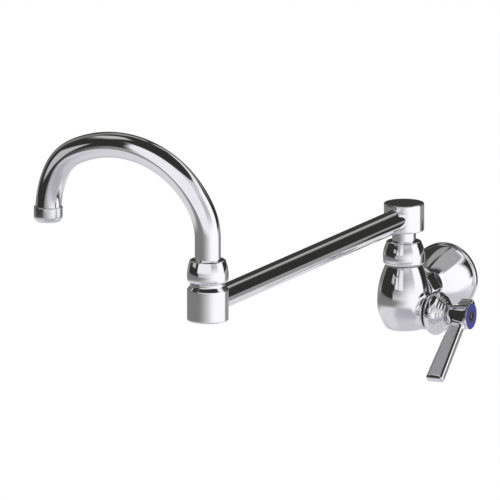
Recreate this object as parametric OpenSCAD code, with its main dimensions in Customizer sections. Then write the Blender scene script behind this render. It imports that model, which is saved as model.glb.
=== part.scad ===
// Wall-mounted sink faucet: a single-lever valve body on a wall flange, and a swing spout in two parts.
// Millimetres. Y = 0 is the wall, the faucet reaches towards -Y, +Z is up, the valve is on the +X side.
// The origin is the centre of the inlet thread at the wall.

/* [Body] */
// Wall to the upright axis of the body
body_reach = 73; // [64:0.5:100]
// Widest radius of the body
body_r = 20; // [18:0.25:26]
// Height of the widest place above the inlet axis
belly_z = -4; // [-8:0.5:2]
// Radius of the long curve above the belly
body_upper_curve = 65; // [45:1:120]
// Radius of the curve below the belly
body_lower_curve = 34; // [28:1:60]
// Top of the body above the inlet axis
body_top_z = 23.8; // [21:0.2:32]
// Foot of the body below the inlet axis
body_foot_drop = 24.8; // [22:0.2:32]
// Rounding at the foot of the body
foot_round = 2; // [0.5:0.25:4]
// Radius of the threaded neck under the body nut
body_neck_r = 11.9; // [10.8:0.1:12.6]
// Length of the threaded neck
body_neck_len = 9; // [6:0.5:12]
// Radius of the water passages in the body
passage_r = 4.2; // [3:0.2:4.8]

/* [Inlet] */
// Across the flats of the inlet hexagon
tail_hex_flats = 22.2; // [20:0.2:26]
// How far the rear boss stands out behind the widest place of the body
rear_boss_len = 3.8; // [2.5:0.1:8]
// Radius of the inlet thread
inlet_r = 9.6; // [8:0.1:11.4]
// Depth of the inlet thread
inlet_depth = 16; // [10:0.5:20]
// Outer radius of the socket behind the flange
tail_socket_r = 14; // [13.2:0.1:16]
// Radius of the water way through the tail
tail_bore_r = 6.2; // [5:0.2:7.5]
// Radius of the tail where it enters the body
tail_spigot_r = 8.6; // [8.2:0.1:9.4]
// How far the tail enters the body
tail_spigot_len = 6; // [4:0.2:7]
// Thickness of the gasket between hexagon and body
tail_gasket_t = 1.2; // [0.6:0.1:2]
// Radius of the wall flange at its rim
flange_r = 26.4; // [25:0.2:34]
// Thickness of the flange rim
flange_rim_t = 3; // [1.5:0.1:3.5]
// Bevel of the flange rim
flange_bevel = 0.7; // [0.5:0.1:1.8]
// Radius of the flange dome at the rim
dome_r = 25; // [22.5:0.1:25.4]
// How far the full dome would stand out
dome_depth = 47; // [40:0.5:52]
// Fullness of the flange dome, from 1 for a cone to 2 for a round one
dome_fullness = 1.25; // [1.1:0.05:2]
// Wall of the flange
flange_wall = 1.6; // [1:0.1:2.2]

/* [Valve] */
// Valve axis below the inlet axis
valve_drop = 10.7; // [9:0.1:13]
// Radius of the valve boss at the body
boss_r = 13.2; // [12.4:0.1:14]
// Radius of the valve boss at its outer edge
boss_edge_r = 12; // [11.2:0.1:12.4]
// How far the outer face of the valve boss lies outside the widest radius of the body
boss_stand = 0; // [0:0.1:4]
// Radius of the threaded nose that the bonnet screws on
nose_r = 10.4; // [9.8:0.1:11]
// Length of the threaded nose
nose_len = 4.4; // [3:0.1:5.5]
// Radius of the cartridge
cartridge_r = 8.2; // [7.6:0.1:8.6]
// Inner face of the cartridge chamber from the body axis
chamber_x = -2; // [-4:0.25:0]
// Thickness of the gasket under the discs
seat_gasket_t = 2; // [1:0.1:3]
// Thickness of each ceramic disc
disc_t = 3; // [2:0.1:3.6]
// Radius of the turning disc
turning_disc_r = 6.6; // [6:0.1:6.9]
// Radius of each port in the discs
port_r = 1.9; // [1:0.1:2.2]
// Distance of each port from the valve axis
port_offset = 4.1; // [3.6:0.1:4.3]
// Radius of the stem
stem_r = 4; // [3.4:0.1:4.4]
// Width of the square end of the stem
stem_square = 5; // [4:0.1:5.4]
// Widest radius of the bonnet
bonnet_r = 16.4; // [15:0.1:18]
// Length of the bonnet
bonnet_len = 16; // [14.5:0.1:19]
// Radius of the bonnet at its outer end
bonnet_end_r = 8.4; // [7.5:0.1:10]
// Thickness of the bonnet gasket
bonnet_gasket_t = 0.5; // [0.3:0.1:1]

/* [Lever] */
// Length of the hub
hub_len = 17; // [15:0.2:20]
// Gap between bonnet and hub
hub_gap = 1.9; // [0.8:0.1:3.5]
// Radius of the hub at its inner end
hub_inner_r = 7; // [6.4:0.1:8]
// Radius of the hub at its outer end
hub_outer_r = 9.9; // [9.6:0.1:11]
// Length of the lever from the valve axis to its tip
lever_len = 61.3; // [45:0.5:90]
// Angle of the lever from straight down towards the user
lever_angle = 49; // [0:1:75]
// Width of the lever at the hub
lever_root_w = 11.4; // [10:0.1:12.5]
// Width of the lever at the tip
lever_tip_w = 14.2; // [10:0.1:16]
// Thickness of the lever
lever_t = 6.8; // [4.5:0.1:7.5]
// Rounding of the lever edges
lever_round = 2; // [0.8:0.1:2.4]
// Reach of the short stub opposite the lever
stub_len = 14; // [12:0.1:18]
// Width of the stub at its end
stub_w = 10.4; // [8:0.1:12]
// Radius of the index ring
index_r = 9.2; // [7.6:0.1:9.3]
// Radius of the hole in the index ring
index_hole_r = 2.9; // [2.4:0.1:3.5]
// Thickness of the index ring
index_t = 1.2; // [0.8:0.1:2]
// Radius of the screw head
screw_head_r = 2.6; // [2.1:0.1:3.2]
// Radius of the screw shank
screw_r = 1.6; // [1:0.1:1.9]
// Length of the screw shank
screw_len = 9; // [6:0.5:10]

/* [Swing arm] */
// Rear swing axis to front swing axis
arm_len = 334.2; // [220:1:420]
// Height of the arm tube above the inlet axis
arm_z = 59.4; // [58.5:0.1:64]
// Outer radius of the arm tube
arm_r = 8.6; // [7.5:0.1:9]
// Wall of the arm tube
arm_wall = 1.2; // [0.8:0.1:2]
// Radius of the rear block
rear_block_r = 15.05; // [14:0.05:18]
// Underside of the rear block above the inlet axis
rear_block_z0 = 49.6; // [47.5:0.1:50]
// Height of the rear block
rear_block_h = 21; // [20.5:0.1:26]
// Radius of the front block
front_block_r = 15.25; // [14.6:0.05:18]
// Underside of the front block above the inlet axis
front_block_z0 = 46.9; // [44:0.1:48]
// Height of the front block up to its shoulder
front_block_h = 23.5; // [23:0.1:28]
// Wall of both blocks
block_wall = 4; // [3:0.1:4.6]
// Depth of the sockets that hold the arm tube
arm_socket = 6; // [4:0.2:7]
// Rounding of the block edges
block_round = 1; // [0.4:0.1:2]
// Radius of the rear spigot
spigot_r = 8.95; // [8.4:0.05:9.4]
// Radius of the water way in the rear spigot
spigot_bore_r = 5.8; // [4.5:0.1:6]
// How far the rear spigot reaches below the top of the body
spigot_depth = 15; // [12:0.5:17]

/* [Swing joints] */
// Widest radius of the body nut
body_nut_r = 15.75; // [15:0.05:18]
// Height of the body nut
body_nut_h = 17.7; // [16:0.1:19.5]
// Radius of the long curve of the body nut
body_nut_curve = 24.5; // [20:0.5:40]
// Widest radius of the front nut
front_nut_r = 15.25; // [14.8:0.05:18]
// Height of the front nut
front_nut_h = 16.8; // [15.4:0.1:19]
// Radius of the long curve of the front nut
front_nut_curve = 30; // [22:0.5:45]
// Radius of the threaded neck of the front block
front_neck_r = 12.5; // [12.2:0.05:13]
// Length of the threaded neck of the front block
front_neck_len = 9; // [7:0.1:10]
// Height of the waist between front block and nut
waist_h = 4.6; // [3.6:0.1:6]
// Radius of the waist
waist_r = 12.9; // [12.8:0.05:14]
// Radius of the sleeve on the foot of the spout
sleeve_r = 10.9; // [10.4:0.05:11.2]
// Length of the sleeve below the retaining ring
sleeve_len = 13; // [10:0.5:15]
// Thickness of the swivel washers
washer_t = 1; // [0.5:0.1:1.4]
// Thickness of the retaining rings
ring_t = 1.6; // [1:0.1:2]
// Depth of the grooves for retaining rings and seals
groove_depth = 1.1; // [0.8:0.05:1.3]
// Thickness of the seal rings
seal_d = 1.8; // [1.2:0.1:2]

/* [Spout] */
// Outer radius of the gooseneck tube
neck_r = 9.525; // [8:0.05:10]
// Wall of the gooseneck tube
neck_wall = 1.1; // [0.8:0.1:1.6]
// Height above the inlet axis where the gooseneck starts to bend
neck_bend_z = 108; // [100:1:160]
// Radius of the first bend
bend_1_r = 44.5; // [30:0.5:70]
// Angle of the first bend
bend_1_angle = 26.5; // [15:0.5:35]
// Radius of the crown bend
bend_2_r = 77; // [60:0.5:110]
// Angle of the crown bend
bend_2_angle = 89.5; // [75:0.5:100]
// Radius of the shoulder bend
bend_3_r = 32.5; // [22:0.5:50]
// Angle of the shoulder bend
bend_3_angle = 38.5; // [25:0.5:45]
// Radius of the last bend
bend_4_r = 72; // [40:1:110]
// Straight end of the gooseneck in the aerator
neck_tip = 3; // [2:0.5:12]
// Radius of the aerator shell
aerator_r = 10.6; // [10.4:0.05:13]
// Height of the aerator shell
aerator_h = 11.2; // [11:0.1:16]
// Height of the straight band of the aerator shell
aerator_band = 6.6; // [4:0.1:8]
// Radius of the aerator mouth
aerator_mouth_r = 7; // [5.5:0.1:7.6]
// Wall of the aerator shell at its lower end
aerator_wall = 1.1; // [0.7:0.1:1.4]

/* [Clearances] */
// Running clearance of turning fits, on the radius
run_gap = 0.05; // [0.02:0.01:0.09]
// Clearance of fixed fits, on the radius
fit_gap = 0.1; // [0.05:0.01:0.2]
// Gap between faces that turn on each other
face_gap = 0.1; // [0.05:0.01:0.3]
// Gap round a tube where it leaves a nut
mouth_gap = 0.35; // [0.3:0.05:0.6]

/* [Hidden] */
$fn = 96;
// Overlap that makes a cut pass cleanly through a face
cut = 1;
chrome = [0.82, 0.83, 0.85];
brass = [0.78, 0.62, 0.32];
steel = [0.65, 0.66, 0.68];
ceramic = [0.93, 0.92, 0.88];
black_rubber = [0.08, 0.08, 0.08];
white_plastic = [0.9, 0.9, 0.88];
index_blue = [0.16, 0.17, 0.55];

// Rear swing joint
body_neck_top = body_top_z + body_neck_len;
body_bore_r = spigot_r + run_gap;
body_washer_top = body_neck_top + washer_t;
body_ring_z = body_washer_top + face_gap;
body_nut_z0 = body_top_z + 0.4;
body_nut_ceiling = body_ring_z + ring_t + face_gap;
spigot_foot_z = body_top_z - spigot_depth;

// Inlet
tail_hex_r = tail_hex_flats / 2 / cos(30);
tail_wall = 2;
tail_hex_start = inlet_depth + tail_wall;
body_back_face = body_reach - body_r - rear_boss_len;
tail_hex_end = body_back_face - tail_gasket_t;
dome_mouth_r = tail_hex_r + 2 * fit_gap;
dome_z0 = flange_rim_t + flange_bevel;
tail_spigot_end = body_back_face + tail_spigot_len;
rear_boss_r = tail_hex_flats / 2 + 0.6;
inlet_pocket_end = tail_spigot_end + 4;

// Valve
boss_end = body_r + boss_stand;
chamber_r = cartridge_r + fit_gap;
fixed_disc_x = chamber_x + seat_gasket_t;
turning_disc_x = fixed_disc_x + disc_t + face_gap;
driver_x = turning_disc_x + disc_t;
driver_t = 2;
sleeve_room_r = turning_disc_r + 0.3;
sleeve_room_end = driver_x + driver_t + 5;
nose_end = boss_end + nose_len;
bonnet_x0 = boss_end + bonnet_gasket_t;
bonnet_end = bonnet_x0 + bonnet_len;
bonnet_ceiling = nose_end + 0.3;
port_bore_r = 3.6;
port_bore_end = -12;
outlet_x = driver_x + driver_t + 1;
stem_seal_x = sleeve_room_end + 5;
stem_groove_r = stem_r - groove_depth;

// Lever
hub_x0 = bonnet_end + hub_gap;
hub_end = hub_x0 + hub_len;
lever_x = hub_x0 + hub_len / 2;
index_x = hub_end - index_t;
socket_depth = hub_len - index_t - 5;
screw_seat_x = hub_x0 + socket_depth + 1.5;
stem_end = hub_x0 + socket_depth - 0.4;
stub_shift = 1.3;

// Front swing joint, all at the front swing axis
front_y = -(body_reach + arm_len);
front_block_top = front_block_z0 + front_block_h;
front_neck_z0 = front_block_top + waist_h;
front_neck_top = front_neck_z0 + front_neck_len;
front_bore_r = sleeve_r + run_gap;
front_washer_top = front_neck_top + washer_t;
front_ring_z = front_washer_top + face_gap;
front_nut_z0 = front_neck_z0 + 0.4;
front_nut_ceiling = front_ring_z + ring_t + face_gap;
sleeve_z0 = front_ring_z - sleeve_len;
sleeve_top = front_ring_z + ring_t;
front_chamber_top = sleeve_z0 - 1;

// Gooseneck: four bends end to end, the last one turns the rest of the half turn
bend_r = [bend_1_r, bend_2_r, bend_3_r, bend_4_r];
bend_4_angle = 180 - bend_1_angle - bend_2_angle - bend_3_angle;
bend_a = [bend_1_angle, bend_2_angle, bend_3_angle, bend_4_angle];
bends = len(bend_r);
function turned(i) = i == 0 ? 0 : turned(i - 1) + bend_a[i - 1];
function bend_x(i) = i == 0 ? 0 : bend_x(i - 1) - bend_r[i - 1] * (cos(turned(i - 1)) - cos(turned(i)));
function bend_z(i) = i == 0 ? neck_bend_z
    : bend_z(i - 1) + bend_r[i - 1] * (sin(turned(i)) - sin(turned(i - 1)));
outlet_x0 = bend_x(bends);
outlet_z = bend_z(bends) - neck_tip;
aerator_top = outlet_z + aerator_band;
aerator_foot = aerator_top - aerator_h;
aerator_washer_t = 1;
aerator_screen_t = 1.4;

// Points of an arc in a profile, where a is measured from the radius direction
function arc(centre, r, a0, a1, steps) =
    [for (i = [0:steps]) let (a = a0 + (a1 - a0) * i / steps) centre + r * [cos(a), sin(a)]];
// Angle at which a curve of radius r, widest at w and z0, passes the height z
function curve_angle(r, z0, z) = asin(max(-1, min(1, (z - z0) / r)));
// Radius of the body at height z
function body_radius(z) = let (r = z > belly_z ? body_upper_curve : body_lower_curve)
    body_r - r + r * cos(curve_angle(r, belly_z, z));

// Turns a part so that its upright axis points along +X, and starts it on the valve axis
module on_valve_axis() {
    translate([0, -body_reach, -valve_drop]) rotate([0, 90, 0]) children();
}
// Turns a part so that its upright axis points from the wall towards the user
module on_inlet_axis() {
    rotate([90, 0, 0]) children();
}
module at_body_axis() {
    translate([0, -body_reach, 0]) children();
}
module at_front_axis() {
    translate([0, front_y, 0]) children();
}
module ring(r_out, r_in, h) {
    difference() {
        cylinder(r = r_out, h = h);
        translate([0, 0, -cut]) cylinder(r = r_in, h = h + 2 * cut);
    }
}
module seal(r_mid, d) {
    rotate_extrude() translate([r_mid, 0]) circle(d = d, $fn = 24);
}
module groove(r, depth, h) {
    ring(r + cut, r - depth, h);
}

// Union nut with a barrel outline, threaded inside, closing on a tube at its top
module dome_nut(r_wide, curve, h, neck, ceiling, mouth) {
    edge = 2.2;
    lip = 1.8;
    wide_z = h * 0.3;
    top_a = curve_angle(curve, wide_z, h - lip);
    top_r = r_wide - curve + curve * cos(top_a);
    side = arc([r_wide - curve, wide_z], curve, curve_angle(curve, wide_z, edge), top_a, 12);
    difference() {
        rotate_extrude() polygon(concat(
            [[0, 0], [r_wide - edge, 0]],
            arc([r_wide - edge, edge], edge - 0.15, -60, 0, 4),
            side,
            arc([top_r - lip, h - lip], lip, 30, 90, 4),
            [[0, h]]
        ));
        translate([0, 0, -cut]) cylinder(r = neck, h = ceiling + cut);
        translate([0, 0, -cut]) cylinder(r = mouth, h = h + 2 * cut);
    }
}

// Rounded upright cylinder that a block is cut from
module block_shape(r, h, round_top, round_foot) {
    rotate_extrude() polygon(concat(
        [[0, 0]],
        arc([r - round_foot, round_foot], round_foot, -90, 0, 6),
        arc([r - round_top, h - round_top], round_top, 0, 90, 6),
        [[0, h]]
    ));
}

// Body casting: vase outline, rear boss for the inlet, side boss for the valve, neck for the nut
module faucet_body() {
    foot_z = -body_foot_drop;
    foot_r = body_radius(foot_z + foot_round);
    top_r = body_radius(body_top_z);
    low_a = curve_angle(body_lower_curve, belly_z, foot_z + foot_round);
    top_a = curve_angle(body_upper_curve, belly_z, body_top_z);
    color(chrome) difference() {
        union() {
            at_body_axis() rotate_extrude() polygon(concat(
                [[0, foot_z]],
                arc([foot_r - foot_round, foot_z + foot_round], foot_round, -90, low_a * 0.8, 5),
                arc([body_r - body_lower_curve, belly_z], body_lower_curve, low_a, 0, 10),
                arc([body_r - body_upper_curve, belly_z], body_upper_curve, 0, top_a, 12),
                [[top_r - 0.4, body_top_z], [body_neck_r, body_top_z],
                 [body_neck_r, body_neck_top], [0, body_neck_top]]
            ));
            on_valve_axis() boss_shape();
            on_inlet_axis() translate([0, 0, body_back_face])
                cylinder(r1 = rear_boss_r - 0.6, r2 = rear_boss_r + 1.5, h = body_reach - body_back_face - 4);
        }
        at_body_axis() translate([0, 0, spigot_foot_z - 1])
            cylinder(r = body_bore_r, h = body_neck_top - spigot_foot_z + 1 + cut);
        at_body_axis() translate([outlet_x, 0, -valve_drop])
            cylinder(r = passage_r, h = spigot_foot_z + valve_drop);
        on_inlet_axis() translate([0, 0, body_back_face - cut])
            cylinder(r = tail_spigot_r + fit_gap, h = tail_spigot_end - body_back_face + cut);
        on_inlet_axis() translate([0, 0, tail_spigot_end - cut])
            cylinder(r = tail_bore_r, h = inlet_pocket_end - tail_spigot_end + cut);
        on_valve_axis() translate([0, 0, chamber_x]) cylinder(r = chamber_r, h = nose_end - chamber_x + cut);
        on_valve_axis() translate([0, 0, port_bore_end]) cylinder(r = port_bore_r, h = -port_bore_end);
        inlet_to_port();
    }
}
// Side boss with a flared root and a threaded nose
module boss_shape() {
    flare = 5;
    root_r = max(boss_r, min(boss_r + flare / 2, body_foot_drop - valve_drop));
    edge = 1.6;
    rotate_extrude() polygon(concat(
        [[0, 0], [root_r, 0], [root_r, boss_end - edge - 2 * flare]],
        arc([boss_r + flare, boss_end - edge - flare], flare, 200, 180, 4),
        [[boss_r, boss_end - edge], [boss_edge_r, boss_end], [nose_r, boss_end],
         [nose_r, nose_end], [0, nose_end]]
    ));
}
// Slanted passage from the inlet pocket to the inner end of the valve chamber
module inlet_to_port() {
    start = [-2, -inlet_pocket_end + 3, -1];
    end = [port_bore_end + 2.5, -body_reach, -valve_drop];
    run = end - start;
    flat = norm([run.x, run.y]);
    translate(start) rotate([0, 90 - atan2(run.z, flat), atan2(run.y, run.x)])
        cylinder(r = passage_r * 0.75, h = norm(run));
}

// Inlet tail: threaded socket at the wall, hexagon for the wrench, spigot into the body
module inlet_tail() {
    chamfer = 1;
    color(chrome) on_inlet_axis() difference() {
        union() {
            cylinder(r = tail_socket_r, h = tail_hex_start);
            intersection() {
                cylinder(r = tail_hex_r, h = tail_hex_end, $fn = 6);
                rotate_extrude() polygon([
                    [0, 0], [tail_hex_r, 0], [tail_hex_r, tail_hex_end - chamfer],
                    [tail_hex_r - 2 * chamfer, tail_hex_end], [0, tail_hex_end]
                ]);
            }
            cylinder(r = tail_spigot_r, h = tail_spigot_end - fit_gap);
        }
        translate([0, 0, -cut]) cylinder(r = inlet_r, h = inlet_depth + cut);
        cylinder(r = tail_bore_r, h = tail_spigot_end + cut);
    }
}
module tail_gasket() {
    color(black_rubber) on_inlet_axis() translate([0, 0, tail_hex_end])
        ring(rear_boss_r - 1.2, tail_spigot_r + fit_gap, tail_gasket_t);
}

// Wall flange: bevelled rim and a deep dome, open at the back, round hole for the hexagon
module wall_flange() {
    land = 0.4;
    steps = 14;
    inner_r = dome_r - flange_wall;
    curl = 2 / dome_fullness;
    function mouth_angle(r) = acos(pow(dome_mouth_r / r, 1 / curl));
    function dome_points(r, a0, a1) = [for (i = [0:steps]) let (a = a0 + (a1 - a0) * i / steps)
        [r * pow(cos(a), curl), dome_z0 + dome_depth * r / dome_r * pow(sin(a), curl)]];
    color(chrome) on_inlet_axis() rotate_extrude() polygon(concat(
        [[flange_r, 0], [flange_r, flange_rim_t], [min(dome_r + land, flange_r - land), dome_z0]],
        dome_points(dome_r, 0, mouth_angle(dome_r)),
        dome_points(inner_r, mouth_angle(inner_r), 0),
        [[inner_r, 0]]
    ));
}

module body_nut() {
    color(chrome) at_body_axis() translate([0, 0, body_nut_z0])
        dome_nut(body_nut_r, body_nut_curve, body_nut_h, body_neck_r + fit_gap,
            body_nut_ceiling - body_nut_z0, spigot_r + mouth_gap);
}
module body_nut_washer() {
    color(white_plastic) at_body_axis() translate([0, 0, body_neck_top])
        ring(body_neck_r - 0.3, spigot_r + mouth_gap, washer_t);
}

module seat_gasket() {
    color(black_rubber) on_valve_axis() translate([0, 0, chamber_x])
        ring(cartridge_r, port_offset + port_r + 0.3, seat_gasket_t);
}
// Ceramic disc with two ports, turned by an angle about the valve axis
module ported_disc(r, turn) {
    difference() {
        cylinder(r = r, h = disc_t);
        rotate([0, 0, turn]) for (side = [-1, 1])
            translate([side * port_offset, 0, -cut]) cylinder(r = port_r, h = disc_t + 2 * cut);
    }
}
module fixed_disc() {
    color(ceramic) on_valve_axis() translate([0, 0, fixed_disc_x]) ported_disc(cartridge_r, 0);
}
module turning_disc() {
    color(ceramic) on_valve_axis() translate([0, 0, turning_disc_x]) ported_disc(turning_disc_r, 90);
}
// Cartridge sleeve: houses the turning disc, has windows to the outlet passage, guides the stem
module cartridge_sleeve() {
    x0 = fixed_disc_x + disc_t;
    window_w = 2 * passage_r - 2;
    color(brass) on_valve_axis() difference() {
        translate([0, 0, x0]) cylinder(r = cartridge_r, h = nose_end - x0);
        translate([0, 0, x0 - cut]) cylinder(r = sleeve_room_r, h = sleeve_room_end - x0 + cut);
        translate([0, 0, x0]) cylinder(r = stem_r + run_gap, h = nose_end - x0 + cut);
        for (side = [-1, 1]) translate([side * cartridge_r, 0, outlet_x + 1])
            cube([cartridge_r, window_w, window_w - 1], center = true);
    }
}
module bonnet_gasket() {
    color(black_rubber) on_valve_axis() translate([0, 0, boss_end])
        ring(boss_edge_r - 0.9, nose_r + fit_gap, bonnet_gasket_t);
}
// Bonnet: bulging nut over the nose, with stepped rings towards the hub
module bonnet() {
    bulge = 5.6;
    bulge_z = 6.6;
    steps = 3;
    shoulder_r = bonnet_r - 2.2;
    shoulder_z = bulge_z + 4.6;
    step_r = (shoulder_r - bonnet_end_r) / steps;
    step_z = (bonnet_len - shoulder_z) / steps;
    ledge = 0.25;
    color(chrome) on_valve_axis() translate([0, 0, bonnet_x0]) difference() {
        rotate_extrude() polygon(concat(
            [[0, 0], [boss_edge_r - 0.6, 0], [boss_edge_r, 0.5]],
            arc([bonnet_r - bulge, bulge_z], bulge, -62, 38, 12),
            [[shoulder_r, shoulder_z]],
            [for (i = [0:steps - 1]) each [
                [shoulder_r - step_r * i - ledge * 2, shoulder_z + step_z * i],
                [shoulder_r - step_r * (i + 0.35), shoulder_z + step_z * (i + 0.75)],
                [shoulder_r - step_r * (i + 1), shoulder_z + step_z * (i + 1) - ledge]
            ]],
            [[bonnet_end_r - ledge, bonnet_len], [0, bonnet_len]]
        ));
        translate([0, 0, -cut]) cylinder(r = nose_r + fit_gap, h = bonnet_ceiling - bonnet_x0 + cut);
        cylinder(r = stem_r + mouth_gap, h = bonnet_len + cut);
    }
}

// Stem: driver against the turning disc, round shaft with a seal groove, square end in the hub
module stem() {
    color(steel) on_valve_axis() difference() {
        union() {
            translate([0, 0, driver_x]) cylinder(r = turning_disc_r, h = driver_t);
            translate([0, 0, driver_x]) cylinder(r = stem_r, h = hub_x0 - driver_x - face_gap);
            translate([-stem_square / 2, -stem_square / 2, driver_x + driver_t])
                cube([stem_square, stem_square, stem_end - driver_x - driver_t]);
        }
        translate([0, 0, stem_seal_x]) groove(stem_r, groove_depth, seal_d);
        translate([0, 0, stem_end - screw_len]) cylinder(r = screw_r, h = screw_len + cut);
    }
}
module stem_seal() {
    d = groove_depth;
    color(black_rubber) on_valve_axis() translate([0, 0, stem_seal_x + seal_d / 2])
        seal(stem_groove_r + d / 2, d);
}

// Direction of the lever in its own frame: length along -Z turned by lever_angle about the valve axis
module in_lever_frame() {
    translate([0, -body_reach, -valve_drop]) rotate([-lever_angle, 0, 0]) children();
}
// Bar with rounded edges between two places [x, z], with its width and thickness at each
module rounded_bar(from, w0, to, w1, t0, t1) {
    hull() for (s = [-1, 1], q = [-1, 1]) {
        translate([from.x + s * (w0 / 2 - lever_round), q * (t0 / 2 - lever_round), from.y])
            sphere(r = lever_round, $fn = 24);
        translate([to.x + s * (w1 / 2 - lever_round), q * (t1 / 2 - lever_round), to.y])
            sphere(r = lever_round, $fn = 24);
    }
}
// Lever handle: flared hub, long blade and a short stub on the other side
module lever_handle() {
    rim = 1;
    color(chrome) difference() {
        union() {
            on_valve_axis() translate([0, 0, hub_x0]) rotate_extrude() polygon(concat(
                [[0, 0]],
                arc([hub_inner_r - rim, rim], rim, -90, 0, 5),
                [[hub_outer_r - 0.35, hub_len - 2 * rim]],
                arc([hub_outer_r - 0.5, hub_len - 0.5], 0.5, 0, 90, 3),
                [[0, hub_len]]
            ));
            in_lever_frame() translate([lever_x, 0, 0]) {
                rounded_bar([0, 0], lever_root_w, [0, -lever_len + lever_round], lever_tip_w,
                    lever_t, lever_t * 0.85);
                rounded_bar([0, 0], hub_len - 2, [stub_shift, stub_len - lever_round], stub_w,
                    lever_t, lever_t);
            }
        }
        on_valve_axis() {
            translate([0, 0, hub_x0 + socket_depth / 2 - cut / 2])
                cube([stem_square + 2 * fit_gap, stem_square + 2 * fit_gap, socket_depth + cut], center = true);
            translate([0, 0, hub_x0]) cylinder(r = screw_r + fit_gap, h = hub_len + cut);
            translate([0, 0, screw_seat_x]) cylinder(r = screw_head_r + fit_gap, h = hub_len);
            translate([0, 0, index_x]) cylinder(r = index_r + fit_gap, h = index_t + cut);
        }
    }
}
module handle_screw() {
    head_h = 1.8;
    slot_w = 0.8;
    color(steel) on_valve_axis() difference() {
        union() {
            translate([0, 0, screw_seat_x]) cylinder(r = screw_head_r, h = head_h);
            translate([0, 0, screw_seat_x - screw_len]) cylinder(r = screw_r - fit_gap / 2, h = screw_len);
        }
        translate([0, 0, screw_seat_x + head_h]) cube([slot_w, 3 * screw_head_r, 1.6], center = true);
    }
}
module index_ring() {
    color(index_blue) on_valve_axis() translate([0, 0, index_x]) ring(index_r, index_hole_r, index_t);
}

// Rear spigot: turns in the body, carries seals and the retaining ring
module rear_spigot() {
    top = rear_block_z0 + block_wall;
    color(chrome) at_body_axis() difference() {
        translate([0, 0, spigot_foot_z]) cylinder(r = spigot_r, h = top - spigot_foot_z);
        translate([0, 0, spigot_foot_z - cut]) cylinder(r = spigot_bore_r, h = top - spigot_foot_z + 2 * cut);
        for (z = spigot_seal_heights()) translate([0, 0, z]) groove(spigot_r, groove_depth, seal_d);
        translate([0, 0, body_ring_z]) groove(spigot_r, groove_depth, ring_t);
    }
}
function spigot_seal_heights() = [for (i = [1, 2]) spigot_foot_z + i * 4];
module spigot_seals() {
    d = groove_depth;
    color(black_rubber) at_body_axis() for (z = spigot_seal_heights())
        translate([0, 0, z + seal_d / 2]) seal(spigot_r - groove_depth + d / 2, d);
}
module spigot_retaining_ring() {
    color(brass) at_body_axis() translate([0, 0, body_ring_z])
        ring(body_neck_r - 0.3, spigot_r - groove_depth, ring_t);
}
// Rear block: closed cap on the spigot, with the socket of the arm tube
module rear_block() {
    color(chrome) at_body_axis() difference() {
        translate([0, 0, rear_block_z0]) block_shape(rear_block_r, rear_block_h, block_round, block_round);
        translate([0, 0, rear_block_z0 - cut]) cylinder(r = spigot_r, h = block_wall + cut);
        translate([0, 0, rear_block_z0 + block_wall - cut])
            cylinder(r = spigot_r - 0.6, h = rear_block_h - block_wall - 2 + cut);
        translate([0, -arm_socket_start(rear_block_r), arm_z]) rotate([90, 0, 0])
            cylinder(r = arm_r, h = rear_block_r);
    }
}
// Distance from a swing axis at which the arm tube ends inside a block
function arm_socket_start(block_r) = block_r - arm_socket;
module arm_tube() {
    y0 = body_reach + arm_socket_start(rear_block_r);
    y1 = body_reach + arm_len - arm_socket_start(front_block_r);
    color(chrome) translate([0, -y0, arm_z]) rotate([90, 0, 0]) ring(arm_r, arm_r - arm_wall, y1 - y0);
}
// Front block: closed cup with a sloping shoulder, a waist and the neck for the front nut
module front_block() {
    slope_h = waist_h * 0.55;
    color(chrome) at_front_axis() difference() {
        union() {
            translate([0, 0, front_block_z0]) rotate_extrude() polygon(concat(
                [[0, 0]],
                arc([front_block_r - block_round, block_round], block_round, -90, 0, 6),
                [[front_block_r, front_block_h - 0.3], [front_block_r - 0.3, front_block_h],
                 [waist_r, front_block_h + slope_h], [waist_r, front_block_h + waist_h],
                 [0, front_block_h + waist_h]]
            ));
            translate([0, 0, front_block_top]) cylinder(r = front_neck_r, h = front_neck_top - front_block_top);
        }
        translate([0, 0, sleeve_z0 - 0.5]) cylinder(r = front_bore_r, h = front_neck_top - sleeve_z0 + 0.5 + cut);
        translate([0, 0, front_block_z0 + block_wall - 1])
            cylinder(r = sleeve_r - 1.6, h = front_chamber_top - front_block_z0 - block_wall + 3);
        translate([0, arm_socket_start(front_block_r), arm_z]) rotate([-90, 0, 0])
            cylinder(r = arm_r, h = front_block_r);
    }
}
module front_nut_washer() {
    color(white_plastic) at_front_axis() translate([0, 0, front_neck_top])
        ring(front_neck_r - 0.3, sleeve_r + mouth_gap, washer_t);
}
module front_nut() {
    color(chrome) at_front_axis() translate([0, 0, front_nut_z0])
        dome_nut(front_nut_r, front_nut_curve, front_nut_h, front_neck_r + fit_gap,
            front_nut_ceiling - front_nut_z0, neck_r + mouth_gap);
}

// Section of the gooseneck tube, a hair slimmer where it laps into a wider neighbour
module tube_section(slim) {
    difference() {
        circle(r = neck_r - slim);
        circle(r = neck_r - neck_wall - slim);
    }
}
// One bend of the gooseneck
module bend(i, slim, lap) {
    start = turned(i);
    lap_angle = lap / bend_r[i] * 180 / PI;
    translate([bend_x(i) - bend_r[i] * cos(start), 0, bend_z(i) - bend_r[i] * sin(start)])
        rotate([90, 0, 0]) rotate([0, 0, start])
            rotate_extrude(angle = bend_a[i] + lap_angle) translate([bend_r[i], 0]) tube_section(slim);
}
// Gooseneck: straight foot, four bends end to end, straight tip
module spout_tube() {
    hair = 0.02;
    lap = 0.2;
    color(chrome) at_front_axis() {
        translate([0, 0, sleeve_z0]) linear_extrude(neck_bend_z + lap - sleeve_z0) tube_section(0);
        for (i = [0:bends - 1]) bend(i, hair * ((i + 1) % 2), lap);
        translate([outlet_x0, 0, outlet_z]) linear_extrude(neck_tip) tube_section(hair);
    }
}
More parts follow.
